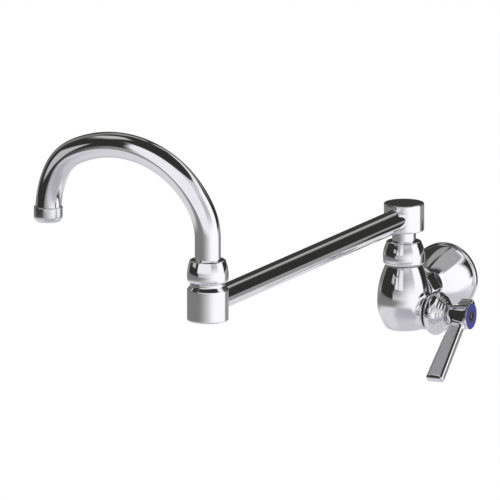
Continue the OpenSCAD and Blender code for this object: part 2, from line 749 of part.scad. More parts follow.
// Sleeve on the foot of the gooseneck, with grooves for the seals and the retaining ring
module spout_sleeve() {
    color(brass) at_front_axis() difference() {
        translate([0, 0, sleeve_z0]) ring(sleeve_r, neck_r, sleeve_top - sleeve_z0);
        for (z = sleeve_seal_heights()) translate([0, 0, z]) groove(sleeve_r, groove_depth * 0.7, seal_d);
        translate([0, 0, front_ring_z]) groove(sleeve_r, groove_depth * 0.7, ring_t + cut);
    }
}
function sleeve_seal_heights() = [for (i = [1, 2]) sleeve_z0 + i * 3.6];
module sleeve_seals() {
    d = groove_depth * 0.7;
    color(black_rubber) at_front_axis() for (z = sleeve_seal_heights())
        translate([0, 0, z + seal_d / 2]) seal(sleeve_r - d / 2, d);
}
module spout_retaining_ring() {
    color(brass) at_front_axis() translate([0, 0, front_ring_z])
        ring(front_neck_r - 0.3, sleeve_r - groove_depth * 0.7, ring_t);
}

// Aerator: shell screwed on the end of the gooseneck, washer and screen inside
module at_outlet() {
    translate([outlet_x0, front_y, 0]) children();
}
module aerator_shell() {
    taper_h = aerator_h - aerator_band;
    taper_r = aerator_r - aerator_mouth_r - aerator_wall;
    outer = [for (i = [0:8]) let (a = 90 * i / 8)
        [aerator_mouth_r + aerator_wall + taper_r * sin(a), taper_h * (1 - cos(a))]];
    color(chrome) at_outlet() translate([0, 0, aerator_foot]) difference() {
        rotate_extrude() polygon(concat(
            [[0, 0]], outer,
            [[aerator_r, aerator_h - 0.5], [aerator_r - 0.5, aerator_h], [0, aerator_h]]
        ));
        translate([0, 0, outlet_z - aerator_foot - aerator_washer_t - aerator_screen_t])
            cylinder(r = neck_r, h = aerator_h);
        translate([0, 0, outlet_z - aerator_foot + neck_tip]) cylinder(r = neck_r + 2 * fit_gap, h = aerator_h);
        translate([0, 0, -cut]) cylinder(r = aerator_mouth_r, h = aerator_h);
    }
}
module aerator_washer() {
    color(black_rubber) at_outlet() translate([0, 0, outlet_z - aerator_washer_t])
        ring(neck_r - fit_gap, neck_r - neck_wall - 0.6, aerator_washer_t);
}
module aerator_screen() {
    hole_r = 0.7;
    rings = 3;
    pitch = 2;
    color(steel) at_outlet() translate([0, 0, outlet_z - aerator_washer_t - aerator_screen_t]) difference() {
        cylinder(r = neck_r - fit_gap, h = aerator_screen_t);
        for (k = [0:rings - 1], j = [0:max(1, 6 * k) - 1])
            rotate([0, 0, 60 * j / max(1, k)]) translate([k * pitch, 0, -cut])
                cylinder(r = hole_r, h = aerator_screen_t + 2 * cut, $fn = 16);
    }
}

faucet_body();
inlet_tail();
tail_gasket();
wall_flange();
body_nut();
body_nut_washer();
seat_gasket();
fixed_disc();
cartridge_sleeve();
bonnet_gasket();
bonnet();
stem();
stem_seal();
turning_disc();
lever_handle();
handle_screw();
index_ring();
rear_spigot();
spigot_seals();
spigot_retaining_ring();
rear_block();
arm_tube();
front_block();
front_nut_washer();
front_nut();
spout_tube();
spout_sleeve();
sleeve_seals();
spout_retaining_ring();
aerator_washer();
aerator_screen();
aerator_shell();
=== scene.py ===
"""Looks of a wall-mounted sink faucet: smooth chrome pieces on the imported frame, a studio and the camera.

The frame is in metres. Sizes below are in millimetres, in the frame's own axes: the wall is Y = 0, the faucet
reaches towards -Y, +Z is up and the valve is on the +X side.
"""
import math

import bpy
import numpy as np
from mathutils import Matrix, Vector


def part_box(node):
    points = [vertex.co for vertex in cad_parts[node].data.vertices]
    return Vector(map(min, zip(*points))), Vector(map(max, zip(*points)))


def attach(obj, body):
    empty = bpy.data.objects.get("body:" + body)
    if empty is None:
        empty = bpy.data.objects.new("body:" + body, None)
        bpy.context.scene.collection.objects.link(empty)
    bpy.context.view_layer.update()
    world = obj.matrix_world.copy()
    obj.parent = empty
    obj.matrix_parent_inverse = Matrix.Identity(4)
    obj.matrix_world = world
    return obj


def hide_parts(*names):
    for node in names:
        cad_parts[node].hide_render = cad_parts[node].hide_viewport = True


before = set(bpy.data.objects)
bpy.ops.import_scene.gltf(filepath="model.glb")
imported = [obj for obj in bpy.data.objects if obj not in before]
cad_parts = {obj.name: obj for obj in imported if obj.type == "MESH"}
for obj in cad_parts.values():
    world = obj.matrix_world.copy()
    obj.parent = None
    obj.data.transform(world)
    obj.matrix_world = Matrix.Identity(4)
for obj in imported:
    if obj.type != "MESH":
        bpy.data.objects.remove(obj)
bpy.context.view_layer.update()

MM = 0.001
# Points round a turned piece, and how far its edges are rounded where it asks for nothing else
TURN_STEPS = 160
ROUNDING = 0.3
# How far the grid of a field reaches past its piece
ROOM = 1.5


def box_mm(node):
    """Lowest and highest corner of a CAD node, in millimetres."""
    low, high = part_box(node)
    return np.array(low) / MM, np.array(high) / MM


def middle_mm(node):
    """Middle of a CAD node's box, in millimetres."""
    low, high = box_mm(node)
    return (low + high) / 2


# Axes and heights, read from the frame
BODY_Y = middle_mm("body_nut")[1]
FRONT_Y = middle_mm("front_nut")[1]
VALVE_Z = middle_mm("bonnet")[2]
OUTLET_X = middle_mm("aerator_shell")[0]
ARM_Z = middle_mm("arm_tube")[2]


# Outlines: points in (radius, height), with the solid on the left when they are walked in order

def arc(centre, radius, start, end, step=2.0):
    """Points of an arc, with its angles in degrees from the direction of the radius."""
    count = max(2, math.ceil(abs(end - start) / step) + 1)
    angles = np.radians(np.linspace(start, end, count))
    return [(centre[0] + radius * math.cos(a), centre[1] + radius * math.sin(a)) for a in angles]


def curve_angle(radius, middle, height):
    """Angle at which a curve of this radius, widest at middle, passes the height."""
    return math.degrees(math.asin((height - middle) / radius))


def smoothed(values, sigma, closed, on_axis):
    """Values along a path, smoothed over sigma samples. An open path mirrors at its ends."""
    reach = int(4 * sigma) + 1
    weights = np.exp(-0.5 * (np.arange(-reach, reach + 1) / sigma) ** 2)
    weights /= weights.sum()
    if closed:
        padded = np.vstack([values[-reach:], values, values[:reach]])
    else:
        sign = np.array([-1.0, 1.0])
        before, after = values[1:reach + 1][::-1], values[-reach - 1:-1][::-1]
        if on_axis:
            padded = np.vstack([before * sign, values, after * sign])
        else:
            padded = np.vstack([2 * values[0] - before, values, 2 * values[-1] - after])
    return np.stack([np.convolve(padded[:, k], weights, "valid") for k in range(values.shape[1])], 1)


def evenly(points, step, closed):
    """The path through these points, sampled at even steps."""
    path = np.array(points, float)
    if closed:
        path = np.vstack([path, path[:1]])
    gaps = np.linalg.norm(np.diff(path, axis=0), axis=1)
    path = path[np.concatenate([[True], gaps > 1e-6])]
    along = np.concatenate([[0], np.cumsum(np.linalg.norm(np.diff(path, axis=0), axis=1))])
    count = math.ceil(along[-1] / step)
    at = np.linspace(0, along[-1], count + 1)[: count if closed else count + 1]
    return np.stack([np.interp(at, along, path[:, k]) for k in range(path.shape[1])], 1)


def rounded(points, closed, rounding, spacing, bend_step=7.0):
    """An outline with rounded corners: samples and outward normals, closest together where it bends."""
    samples = 6
    dense = smoothed(evenly(points, rounding / samples, closed), samples * 0.6, closed, True)
    if closed:
        tangent = np.roll(dense, -1, 0) - np.roll(dense, 1, 0)
    else:
        tangent = np.gradient(dense, axis=0)
        tangent[0], tangent[-1] = (1, 0), (-1, 0)
    tangent /= np.linalg.norm(tangent, axis=1)[:, None]
    normal = np.stack([tangent[:, 1], -tangent[:, 0]], 1)
    ring = np.vstack([dense, dense[:1]]) if closed else dense
    ring_normal = np.vstack([normal, normal[:1]]) if closed else normal
    length = np.linalg.norm(np.diff(ring, axis=0), axis=1)
    bend = np.degrees(np.arccos(np.clip((ring_normal[1:] * ring_normal[:-1]).sum(1), -1, 1)))
    cost = np.concatenate([[0], np.cumsum(length / spacing + bend / bend_step)])
    count = math.ceil(cost[-1])
    at = np.linspace(0, cost[-1], count + 1)[: count if closed else count + 1]
    places = np.stack([np.interp(at, cost, ring[:, k]) for k in range(2)], 1)
    normals = np.stack([np.interp(at, cost, ring_normal[:, k]) for k in range(2)], 1)
    return places, normals / np.linalg.norm(normals, axis=1)[:, None]


# Axes that outlines turn about: each gives the origin and three directions at the given heights

def straight_axis(origin, direction):
    """A straight axis, with heights measured from its origin."""
    along = np.array(direction, float)
    across = np.array((0, 0, 1.0) if abs(along[2]) < 0.5 else (1.0, 0, 0))
    side = np.cross(along, across)

    def at(heights):
        count = len(heights)
        return (np.array(origin) + heights[:, None] * along,
                np.tile(across, (count, 1)), np.tile(side, (count, 1)), np.tile(along, (count, 1)))
    return at


def curved_axis(path):
    """An axis along a path in a plane of constant Y, which is measured along its length."""
    lengths = np.concatenate([[0], np.cumsum(np.linalg.norm(np.diff(path, axis=0), axis=1))])
    tangents = np.gradient(path, axis=0)
    tangents /= np.linalg.norm(tangents, axis=1)[:, None]
    across = np.array((0, 1.0, 0))

    def at(heights):
        origin = np.stack([np.interp(heights, lengths, path[:, k]) for k in range(3)], 1)
        along = np.stack([np.interp(heights, lengths, tangents[:, k]) for k in range(3)], 1)
        along /= np.linalg.norm(along, axis=1)[:, None]
        return origin, np.tile(across, (len(heights), 1)), np.cross(along, across), along
    return at, lengths[-1]


# Meshes

def piece(name, points, faces, normals, body, material, slot, nodes=()):
    """A smooth mesh that rides on a body and stands for CAD nodes. Points are in millimetres."""
    mesh = bpy.data.meshes.new(name)
    mesh.from_pydata((np.asarray(points) * MM).tolist(), [], [list(f) for f in faces])
    mesh.polygons.foreach_set("use_smooth", [True] * len(mesh.polygons))
    mesh.validate(clean_customdata=False)
    mesh.update()
    if normals is not None:
        mesh.normals_split_custom_set_from_vertices(np.asarray(normals).tolist())
    mesh.materials.append(material)
    thing = bpy.data.objects.new(name, mesh)
    bpy.context.scene.collection.objects.link(thing)
    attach(thing, body)
    if nodes:
        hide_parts(*nodes)
    return thing


def turned(outline, axis, closed, rounding=ROUNDING, spacing=2.5, steps=TURN_STEPS):
    """Points, faces and normals of an outline turned about an axis. A closed outline makes a ring."""
    places, slopes = rounded(outline, closed, rounding, spacing)
    angles = np.arange(steps) * 2 * math.pi / steps
    origin, across, side, along = axis(places[:, 1])
    spoke = (np.cos(angles)[None, :, None] * across[:, None, :]
             + np.sin(angles)[None, :, None] * side[:, None, :])
    points = origin[:, None, :] + places[:, 0, None, None] * spoke
    normals = slopes[:, 0, None, None] * spoke + slopes[:, 1, None, None] * along[:, None, :]
    rows = len(places)
    if closed:
        points, normals = points.reshape(-1, 3), normals.reshape(-1, 3)
        first, count = 0, rows
    else:
        points = np.vstack([points[1:-1].reshape(-1, 3), origin[0], origin[-1]])
        normals = np.vstack([normals[1:-1].reshape(-1, 3), -along[0], along[-1] * slopes[-1, 1]])
        normals[-2] = along[0] * slopes[0, 1]
        first, count = 0, rows - 2
    ring = np.arange(steps)
    following = (ring + 1) % steps
    pairs = [(i, (i + 1) % count) for i in range(count if closed else count - 1)]
    faces = [quad for i, j in pairs for quad in np.stack(
        [first + i * steps + ring, first + i * steps + following,
         first + j * steps + following, first + j * steps + ring], 1).tolist()]
    if not closed:
        bottom, top = len(points) - 2, len(points) - 1
        last = (count - 1) * steps
        faces += np.stack([following, ring, np.full(steps, bottom)], 1).tolist()
        faces += np.stack([last + ring, last + following, np.full(steps, top)], 1).tolist()
    return points, faces, normals


# Smooth solids, as fields that are negative inside

def blend_min(a, b, width):
    """The union of two fields, with a fillet of about this width."""
    near = np.maximum(width - np.abs(a - b), 0) / width
    return np.minimum(a, b) - near ** 3 * width / 6


def blend_max(a, b, width):
    """The intersection of two fields, with its edge rounded."""
    return -blend_min(-a, -b, width)


def rounded_box(x, y, z, half_x, half_y, low_z, high_z, rounding):
    """Field of a box whose half widths may differ from place to place."""
    middle, half_z = (low_z + high_z) / 2, (high_z - low_z) / 2
    sides = ((x, half_x), (y, half_y), (z - middle, half_z))
    out = [np.abs(place) - half + rounding for place, half in sides]
    outside = np.sqrt(sum(np.maximum(d, 0) ** 2 for d in out) + 1e-12)
    inside = np.minimum(np.maximum(np.maximum(out[0], out[1]), out[2]), 0)
    return outside + inside - rounding


def gradient(field, points, reach=0.03):
    """How fast a field grows along each axis."""
    slopes = []
    for k in range(3):
        step = np.zeros(3)
        step[k] = reach
        slopes.append((field(points + step) - field(points - step)) / (2 * reach))
    return np.stack(slopes, 1)


def skin(field, low, high, step):
    """Points, faces and normals of the surface on which a field is zero."""
    ticks = [np.arange(a, b + step, step) for a, b in zip(low, high)]
    grid = np.stack(np.meshgrid(*ticks, indexing="ij"), -1)
    value = field(grid)
    value[value == 0] = 1e-9
    inside = value < 0
    cells = tuple(n - 1 for n in value.shape)
    # One point per crossed cell, at the mean of the places where its edges pass through the surface
    total, weight = np.zeros(cells + (3,)), np.zeros(cells)
    for axis in range(3):
        others = [k for k in range(3) if k != axis]
        for p in (0, 1):
            for q in (0, 1):
                offset = [0, 0, 0]
                offset[others[0]], offset[others[1]] = p, q
                near = tuple(slice(o, o + n) for o, n in zip(offset, cells))
                offset[axis] = 1
                far = tuple(slice(o, o + n) for o, n in zip(offset, cells))
                crossed = inside[near] != inside[far]
                share = np.where(crossed, value[near] / (value[near] - value[far] + ~crossed), 0)
                place = grid[near] + share[..., None] * (grid[far] - grid[near])
                total += place * crossed[..., None]
                weight += crossed
    used = weight > 0
    number = np.full(cells, -1)
    number[used] = np.arange(used.sum())
    points = total[used] / weight[used][:, None]
    # One face per crossed edge, through the points of the four cells round it
    faces = []
    for axis in range(3):
        one, two = (axis + 1) % 3, (axis + 2) % 3
        size = list(cells)
        size[axis] = value.shape[axis] - 1
        start = [0, 0, 0]
        start[one] = start[two] = 1
        near = tuple(slice(start[k], size[k]) for k in range(3))
        far = tuple(slice(start[k] + (k == axis), size[k] + (k == axis)) for k in range(3))
        crossed = np.argwhere(inside[near] != inside[far]) + start
        around = []
        for p, q in ((1, 1), (0, 1), (0, 0), (1, 0)):
            cell = crossed.copy()
            cell[:, one] -= p
            cell[:, two] -= q
            around.append(number[tuple(cell.T)])
        quads = np.stack(around, 1)
        outward = inside[tuple(crossed.T)]
        faces += quads[outward].tolist() + quads[~outward][:, ::-1].tolist()
    # The points then move onto the surface
    for _ in range(4):
        slope = gradient(field, points)
        steepness = np.maximum((slope ** 2).sum(1), 0.05)
        move = slope * (field(points) / steepness)[:, None]
        points = points - np.clip(move, -step / 2, step / 2)
    slope = gradient(field, points)
    return points, faces, slope / np.linalg.norm(slope, axis=1)[:, None]


# Materials

def new_material(name):
    """A material with its nodes, links and shader."""
    material = bpy.data.materials.new(name)
    material.use_nodes = True
    nodes = material.node_tree.nodes
    return material, nodes, material.node_tree.links, nodes["Principled BSDF"]


def noise_at(nodes, links, scale, detail=2.0):
    """A noise that stays with the object, in turns per metre."""
    place = nodes.new("ShaderNodeTexCoord")
    noise = nodes.new("ShaderNodeTexNoise")
    noise.inputs["Scale"].default_value = scale
    noise.inputs["Detail"].default_value = detail
    links.new(place.outputs["Object"], noise.inputs["Vector"])
    return noise


def ramp_of(nodes, links, source, low, high, start=0.3, end=0.7):
    """A colour or value between low and high, driven by a noise."""
    ramp = nodes.new("ShaderNodeValToRGB")
    ramp.color_ramp.elements[0].position, ramp.color_ramp.elements[1].position = start, end
    ramp.color_ramp.elements[0].color, ramp.color_ramp.elements[1].color = (*low, 1), (*high, 1)
    links.new(source, ramp.inputs["Fac"])
    return ramp.outputs["Color"]


def surface(name, low, high, rough_low, rough_high, metallic=0.0, scale=60.0, bump=0.0,
            bump_scale=900.0):
    """Colour and roughness wander between two close values. A bump above 0 adds a fine relief."""
    material, nodes, links, shader = new_material(name)
    shader.inputs["Metallic"].default_value = metallic
    tone = noise_at(nodes, links, scale)
    links.new(ramp_of(nodes, links, tone.outputs["Fac"], low, high), shader.inputs["Base Color"])
    polish = noise_at(nodes, links, scale * 2.3, 3.0)
    grey = ramp_of(nodes, links, polish.outputs["Fac"], (rough_low,) * 3, (rough_high,) * 3)
    links.new(grey, shader.inputs["Roughness"])
    if bump:
        grain = noise_at(nodes, links, bump_scale, 3.0)
        relief = nodes.new("ShaderNodeBump")
        relief.inputs["Strength"].default_value = bump
        relief.inputs["Distance"].default_value = 0.0001
        links.new(grain.outputs["Fac"], relief.inputs["Height"])
        links.new(relief.outputs["Normal"], shader.inputs["Normal"])
    return material


CHROME = surface("polished_chrome", (0.80, 0.80, 0.83), (0.84, 0.84, 0.87), 0.04, 0.075, 1.0)
SATIN = surface("satin_chrome", (0.70, 0.71, 0.73), (0.77, 0.78, 0.80), 0.16, 0.24, 1.0, 90.0, 0.1)
BRASS = surface("bare_brass", (0.72, 0.55, 0.26), (0.82, 0.65, 0.34), 0.25, 0.4, 1.0, 150.0, 0.15)
STEEL = surface("stainless_steel", (0.56, 0.57, 0.59), (0.66, 0.67, 0.69), 0.25, 0.38, 1.0, 150.0, 0.15)
CERAMIC = surface("ceramic", (0.86, 0.85, 0.8), (0.93, 0.92, 0.88), 0.12, 0.2, 0.0, 120.0)
RUBBER = surface("black_rubber", (0.02, 0.02, 0.02), (0.05, 0.05, 0.05), 0.5, 0.7, 0.0, 300.0, 0.2)
PLASTIC = surface("white_plastic", (0.82, 0.82, 0.8), (0.9, 0.9, 0.88), 0.35, 0.5, 0.0, 200.0, 0.1)
# The index screw is painted dark and greenish: painted shade of the recess it sits at the bottom of
SCREW_PAINTED_SHADE = surface("index_screw", (0.10, 0.11, 0.05), (0.22, 0.23, 0.10), 0.3, 0.45, 1.0, 500.0, 0.15)


# Wall flange

HEX_FLATS = 22.2
PIPE_PITCH = 1.814


def wall_flange():
    rim_r, rim_t, bevel, ledge = box_mm("wall_flange")[1][0], 3.0, 0.7, 0.4
    dome_r, dome_depth, fullness, wall, play = 25.0, 47.0, 1.25, 1.6, 0.2
    dome_foot, curl = rim_t + bevel, 2 / fullness
    mouth_r = HEX_FLATS / 2 / math.cos(math.radians(30)) + play

    def dome(radius):
        """One face of the dome, from its foot to its mouth round the hexagon."""
        mouth, depth = math.acos((mouth_r / radius) ** (1 / curl)), dome_depth * radius / dome_r
        return [(radius * math.cos(a) ** curl, dome_foot + depth * math.sin(a) ** curl)
                for a in np.linspace(0, mouth, 60)]
    outline = [(rim_r, 0), (rim_r, rim_t), (dome_r + ledge, dome_foot)]
    outline += dome(dome_r) + dome(dome_r - wall)[::-1] + [(dome_r - wall, 0)]
    shape = turned(outline, straight_axis((0, 0, 0), (0, -1, 0)), True)
    piece("wall_flange_skin", *shape, "body", CHROME, "polished_chrome", ["wall_flange"])


# Inlet tail with its hexagon

def tail_field(p):
    """Socket, hexagon and spigot, with the pipe thread in the socket and the water way behind it."""
    x, depth, z = p[..., 0], -p[..., 1], p[..., 2]
    socket_r, spigot_r, spigot_len, water_r = 14.0, 8.6, 7.1, 6.2
    hex_start, hex_end, corner = 18.0, -box_mm("tail_gasket")[1][1], 0.6
    thread_r, thread_rise, thread_len, mouth_r, mouth_taper = 10.05, 0.45, 16, 10.9, 0.9
    radius = np.sqrt(x ** 2 + z ** 2 + 1e-9)
    socket = blend_max(radius - socket_r, depth - hex_start, 0.6)
    sides = [math.radians(a) for a in (90, 30, 150)]
    flats = [np.abs(x * math.cos(a) + z * math.sin(a)) - HEX_FLATS / 2 for a in sides]
    hexagon = blend_max(blend_max(flats[0], flats[1], 0.8), flats[2], 0.8)
    chamfer = (radius - HEX_FLATS / 2 - corner + (depth - hex_end) * 0.5) * 0.9
    hexagon = blend_max(blend_max(hexagon, depth - hex_end, 0.5), chamfer, 0.6)
    solid = np.minimum(socket, hexagon)
    solid = np.minimum(solid, blend_max(radius - spigot_r, depth - (hex_end + spigot_len), 0.5))
    solid = blend_max(solid, -depth, 0.5)
    turns = depth / PIPE_PITCH - np.arctan2(z, x) / (2 * math.pi)
    thread = radius - thread_r - thread_rise * np.cos(2 * math.pi * turns)
    bore = np.minimum(np.maximum(thread * 0.5, depth - thread_len), radius - water_r)
    bore = np.minimum(bore, radius - mouth_r + depth * mouth_taper)
    return blend_max(solid, -bore, 0.4)


def inlet_tail():
    low, high = box_mm("inlet_tail")
    shape = skin(tail_field, low - ROOM, high + ROOM, 0.4)
    piece("inlet_tail_skin", *shape, "body", CHROME, "polished_chrome", ["inlet_tail"])


# Body casting

def vase_radius(z):
    """Radius of the vase, from one curve above its belly and one below."""
    belly_z, belly_r, upper, lower = -4.0, 20.0, 65.0, 34.0
    curve = np.where(z > belly_z, upper, lower)
    rise = np.clip(z - belly_z, -lower * 0.95, upper * 0.95)
    return belly_r - curve + np.sqrt(curve ** 2 - rise ** 2)


def body_field(p):
    """Vase with valve boss, rear boss, threaded neck and nose, less the bores that open outwards."""
    x, y, z = p[..., 0], p[..., 1] - BODY_Y, p[..., 2]
    top, foot, foot_round, neck_r, neck_top = 23.8, -24.8, 3.5, 11.9, box_mm("faucet_body")[1][2]
    boss_r, boss_end, boss_round = 13.2, box_mm("bonnet_gasket")[0][0], 1.6
    nose_r, nose_end = 10.4, box_mm("faucet_body")[1][0]
    rear_r, rear_taper, rear_face = 11.0, 0.1, box_mm("faucet_body")[1][1] - BODY_Y
    boss_fillet, rear_fillet, thread_fillet = 4.0, 3.0, 0.4
    bore_r, bore_foot = 9.0, box_mm("rear_spigot")[0][2] - 1
    chamber_r, chamber_x, inlet_bore_r, inlet_bore_y = 8.3, -2, 8.7, 16
    radius = np.sqrt(x ** 2 + y ** 2 + 1e-9)
    valve_r = np.sqrt(y ** 2 + (z - VALVE_Z) ** 2 + 1e-9)
    inlet_r = np.sqrt(x ** 2 + z ** 2 + 1e-9)
    vase = blend_max(radius - vase_radius(z), z - top, 0.5)
    vase = blend_max(vase, foot - z, foot_round)
    boss = np.maximum(blend_max(valve_r - boss_r, x - boss_end, boss_round), -x)
    rear = blend_max(inlet_r - (rear_r + (rear_face - y) * rear_taper), y - rear_face, 0.8)
    rear = np.maximum(rear, -y)
    neck = blend_max(radius - neck_r, np.maximum(z - neck_top, -z), 0.5)
    nose = blend_max(valve_r - nose_r, np.maximum(x - nose_end, -x), 0.5)
    solid = blend_min(blend_min(vase, boss, boss_fillet), rear, rear_fillet)
    solid = blend_min(blend_min(solid, neck, thread_fillet), nose, thread_fillet)
    bore = np.maximum(radius - bore_r, bore_foot - z)
    chamber = np.maximum(valve_r - chamber_r, chamber_x - x)
    inlet = np.maximum(inlet_r - inlet_bore_r, inlet_bore_y - y)
    return blend_max(solid, -np.minimum(np.minimum(bore, chamber), inlet), 0.4)


def faucet_body():
    low, high = box_mm("faucet_body")
    shape = skin(body_field, low - ROOM, high + ROOM, 0.5)
    piece("faucet_body_skin", *shape, "body", CHROME, "polished_chrome", ["faucet_body"])


# Union nuts

def nut_outline(wide_r, curve, height, neck_r, ceiling, mouth_r):
    """A barrel-shaped nut with room for a threaded neck under its ceiling and a mouth above it."""
    edge, lip = 2.2, 1.8
    wide_z = height * 0.3
    top_angle = curve_angle(curve, wide_z, height - lip)
    top_r = wide_r - curve + curve * math.cos(math.radians(top_angle))
    outline = [(neck_r, 0), (wide_r - edge, 0)]
    outline += arc((wide_r - edge, edge), edge - 0.15, -60, 0)
    outline += arc((wide_r - curve, wide_z), curve, curve_angle(curve, wide_z, edge), top_angle, 1)
    outline += arc((top_r - lip, height - lip), lip, 30, 90)
    return outline + [(mouth_r, height), (mouth_r, ceiling), (neck_r, ceiling)]


def union_nuts():
    for node, body, y, curve, neck_r, roof, mouth_r in (
            ("body_nut", "body", BODY_Y, 24.5, 12.0, 6.2, 9.3),
            ("front_nut", "swing_arm", FRONT_Y, 30.0, 12.6, 5.4, 9.875)):
        low, high = box_mm(node)
        height = high[2] - low[2]
        outline = nut_outline((high[0] - low[0]) / 2, curve, height, neck_r, height - roof, mouth_r)
        shape = turned(outline, straight_axis((0, y, low[2]), (0, 0, 1)), True)
        piece(node + "_skin", *shape, body, CHROME, "polished_chrome", [node])


# Bonnet

def bonnet():
    low, high = box_mm("bonnet")
    length, wide_r = high[0] - low[0], (high[1] - low[1]) / 2
    foot_r, end_r, bulge, bulge_z, steps, ledge = 12.0, 8.4, 5.6, 6.6, 3, 0.25
    thread_r, thread_len, bore_r, shoulder_in, shoulder_up = 10.5, 4.2, 4.35, 2.2, 4.6
    shoulder_r, shoulder_z = wide_r - shoulder_in, bulge_z + shoulder_up
    step_r, step_z = (shoulder_r - end_r) / steps, (length - shoulder_z) / steps
    outline = [(thread_r, 0), (foot_r - 0.6, 0), (foot_r, 0.5)]
    outline += arc((wide_r - bulge, bulge_z), bulge, -62, 38) + [(shoulder_r, shoulder_z)]
    for i in range(steps):
        outline += [(shoulder_r - step_r * i - ledge * 2, shoulder_z + step_z * i),
                    (shoulder_r - step_r * (i + 0.35), shoulder_z + step_z * (i + 0.75)),
                    (shoulder_r - step_r * (i + 1), shoulder_z + step_z * (i + 1) - ledge)]
    outline += [(end_r - ledge, length), (bore_r, length), (bore_r, thread_len), (thread_r, thread_len)]
    shape = turned(outline, straight_axis((low[0], BODY_Y, VALVE_Z), (1, 0, 0)), True, 0.2)
    piece("bonnet_skin", *shape, "body", CHROME, "polished_chrome", ["bonnet"])


# Lever handle, made in its own frame with the blade along -Z and then turned about the valve axis

LEVER_ANGLE = 49.0
LEVER_LEN = 61.3
STUB_LEN = 14.0


def lever_chrome():
    """Chrome that is satin where it faces as the flat sides of the blade do."""
    material = surface("lever_chrome", (0.80, 0.80, 0.83), (0.84, 0.84, 0.87), 0.02, 0.05, 1.0)
    nodes, links = material.node_tree.nodes, material.node_tree.links
    shader = nodes["Principled BSDF"]
    polish = shader.inputs["Roughness"].links[0].from_socket
    place, facing = nodes.new("ShaderNodeTexCoord"), nodes.new("ShaderNodeVectorMath")
    size, mask = nodes.new("ShaderNodeMath"), nodes.new("ShaderNodeMapRange")
    mix = nodes.new("ShaderNodeMix")
    turn, nearly_flat, flat, satin = math.radians(-LEVER_ANGLE), 0.992, 0.999, 0.36
    facing.operation, size.operation = "DOT_PRODUCT", "ABSOLUTE"
    facing.inputs[1].default_value = (0, math.cos(turn), math.sin(turn))
    mask.inputs["From Min"].default_value, mask.inputs["From Max"].default_value = nearly_flat, flat
    mix.inputs["B"].default_value = satin
    links.new(place.outputs["Normal"], facing.inputs[0])
    links.new(facing.outputs["Value"], size.inputs[0])
    links.new(size.outputs["Value"], mask.inputs["Value"])
    links.new(mask.outputs["Result"], mix.inputs["Factor"])
    links.new(polish, mix.inputs["A"])
    links.new(mix.outputs["Result"], shader.inputs["Roughness"])
    return material


def lever_field(p):
    """Flaring hub with a long bevelled blade below it, a short stub above it and the index's recess."""
    x, y, z = p[..., 0], p[..., 1], p[..., 2]
    hub_x, hub_end = box_mm("lever_handle")[0][0], box_mm("lever_handle")[1][0]
    middle_x = (hub_x + hub_end) / 2
    hub_r, hub_flare, hub_lip = 7.0, 2.6, 0.3
    tip_round, blade_edge = 1.6, 2.4
    root_half, widening, half_t, thinning = 5.7, 1.4, 3.4, 0.12
    tip_bevel, tip_tilt, side_bevel, side_tilt = 2.7, 18, 2.0, 13
    stub_edge, stub_half, stub_narrowing, stub_lean = 1.6, 7.5, 2.3, 1.3
    blade_fillet, stub_fillet = 6.5, 4.0
    recess_r, recess_depth, seat_r, seat_depth = 9.3, 1.2, 2.7, 4.7
    radius = np.sqrt(y ** 2 + z ** 2 + 1e-9)
    along = np.clip((x - hub_x) / (hub_end - hub_x), 0, 1)
    hub = radius - (hub_r + hub_flare * along + hub_lip * along ** 12)
    hub = blend_max(hub, hub_x - x, 1.6)
    hub = blend_max(hub, x - hub_end, 0.8)
    down = np.clip(-z / (LEVER_LEN - tip_round), 0, 1)
    half_wide, half_thick = root_half + widening * down, half_t * (1 - thinning * down)
    blade = rounded_box(x - middle_x, y, z, half_wide, half_thick, -LEVER_LEN, 0.0, blade_edge)
    past_side = np.abs(x - middle_x) - half_wide + side_bevel
    for over, tilt in ((tip_bevel - LEVER_LEN - z, tip_tilt), (past_side, side_tilt)):
        slope = math.radians(tilt)
        bevel = (np.abs(y) - half_thick) * math.cos(slope) + over * math.sin(slope)
        blade = blend_max(blade, bevel, 0.5)
    up = np.clip(z / (STUB_LEN - stub_edge), 0, 1)
    stub = rounded_box(x - middle_x - stub_lean * up, y, z, stub_half - stub_narrowing * up, half_t,
                       -2.0, STUB_LEN, stub_edge)
    solid = blend_min(blend_min(hub, blade, blade_fillet), stub, stub_fillet)
    recess = np.maximum(radius - recess_r, hub_end - recess_depth - x)
    screw_seat = np.maximum(radius - seat_r, hub_end - seat_depth - x)
    return blend_max(solid, -np.minimum(recess, screw_seat), 0.3)


def lever_handle():
    hub_x, hub_end = box_mm("lever_handle")[0][0], box_mm("lever_handle")[1][0]
    low, high = (hub_x - 1, -11.5, -LEVER_LEN - ROOM), (hub_end + 1, 11.5, STUB_LEN + ROOM)
    points, faces, normals = skin(lever_field, low, high, 0.4)
    turn = math.radians(-LEVER_ANGLE)
    spin = np.array([[1, 0, 0], [0, math.cos(turn), -math.sin(turn)], [0, math.sin(turn), math.cos(turn)]])
    points = points @ spin.T + (0, BODY_Y, VALVE_Z)
    piece("lever_handle_skin", points, faces, normals @ spin.T, "handle",
          lever_chrome(), "polished_chrome", ["lever_handle"])


